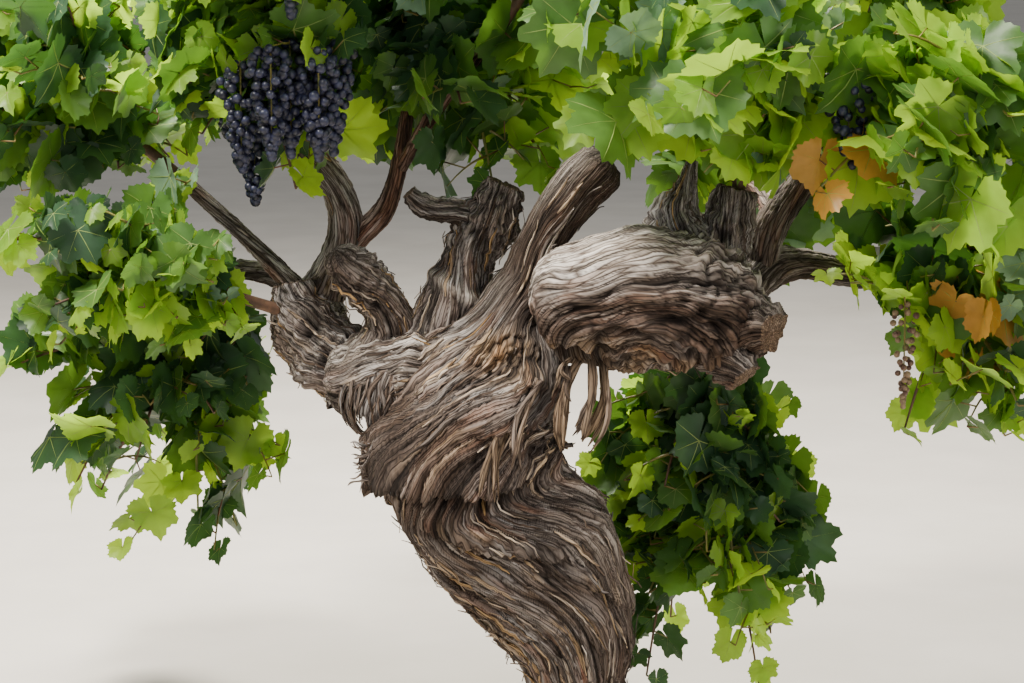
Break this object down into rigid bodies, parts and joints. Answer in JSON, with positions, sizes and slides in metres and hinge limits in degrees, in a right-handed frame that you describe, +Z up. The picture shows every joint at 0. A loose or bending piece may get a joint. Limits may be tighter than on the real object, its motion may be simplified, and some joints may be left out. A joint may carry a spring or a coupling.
{
  "type": "grapevine",
  "caption": "Old head-trained grapevine: a leaning, twisted trunk, a swollen burl and sawn stubs on crooked arms, under a full leafy crown with dark fruit.",
  "frame": {"origin": "middle of the flat cut where the trunk meets level ground", "axes": "+Z up, +X to the right as the picture sees it, +Y away from the viewer"},
  "size_m": [1.8391, 0.9379, 1.4094],
  "materials": {
    "bark": "weathered",
    "foliage": "leafy"
  },
  "bodies": {
    "root": {"trunk": "bark", "leader_stub": "bark", "burl": "bark", "burl_knob_outer": "bark", "burl_knob_lower": "bark", "spike_spur": "bark", "upper_stub": "bark", "left_arm": "bark", "left_head": "bark", "left_spur": "bark", "left_upright": "bark", "left_fork": "bark", "middle_bough": "bark", "middle_spur": "bark", "right_arm": "bark", "right_upper_arm": "bark", "far_left_arm": "bark", "left_back_arm": "bark", "lower_back_arm": "bark", "left_high_arm": "bark", "middle_high_arm": "bark", "right_high_arm": "bark", "far_right_arm": "bark", "back_left_arm": "bark", "back_right_arm": "bark", "foliage_left_top": "foliage", "foliage_far_left": "foliage", "foliage_left_droop": "foliage", "foliage_left_hanging": "foliage", "foliage_middle": "foliage", "foliage_centre_front": "foliage", "foliage_right_front": "foliage", "foliage_right_side": "foliage", "foliage_far_right": "foliage", "foliage_low_right": "foliage", "foliage_crown_left": "foliage", "foliage_crown_middle": "foliage", "foliage_crown_right": "foliage", "foliage_back_left": "foliage", "foliage_back_right": "foliage"}
  },
  "joints": []
}
